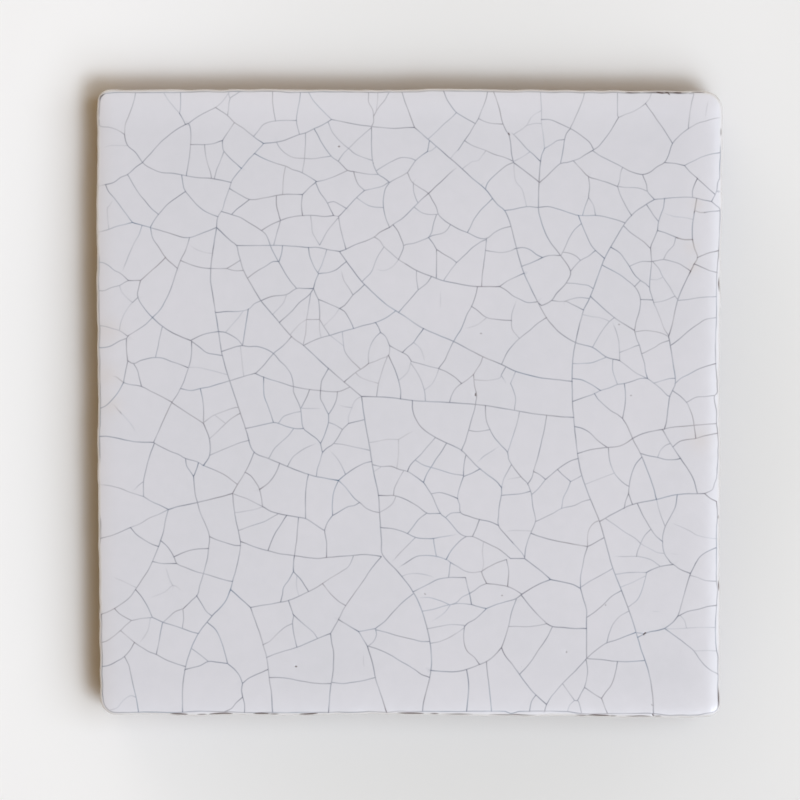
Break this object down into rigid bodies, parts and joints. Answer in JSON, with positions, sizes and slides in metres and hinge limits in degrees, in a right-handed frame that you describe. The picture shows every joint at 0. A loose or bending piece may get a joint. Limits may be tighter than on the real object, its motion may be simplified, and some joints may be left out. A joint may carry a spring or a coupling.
{
  "type": "crackle glaze ceramic tile",
  "caption": "Square hand-cut wall tile in fired clay, with a wavering outline, a rolled edge and a glossy off-white glaze crossed by a network of fine blue-grey cracks.",
  "frame": {"origin": "centre of the nominal square on the back of the tile", "axes": "+Z out of the glazed face, +X to the right and +Y to the top of the face as it is seen in the picture"},
  "size_m": [0.1305, 0.1311, 0.011],
  "materials": {
    "glaze": "gloss"
  },
  "bodies": {
    "root": {"tile": "glaze"}
  },
  "joints": []
}
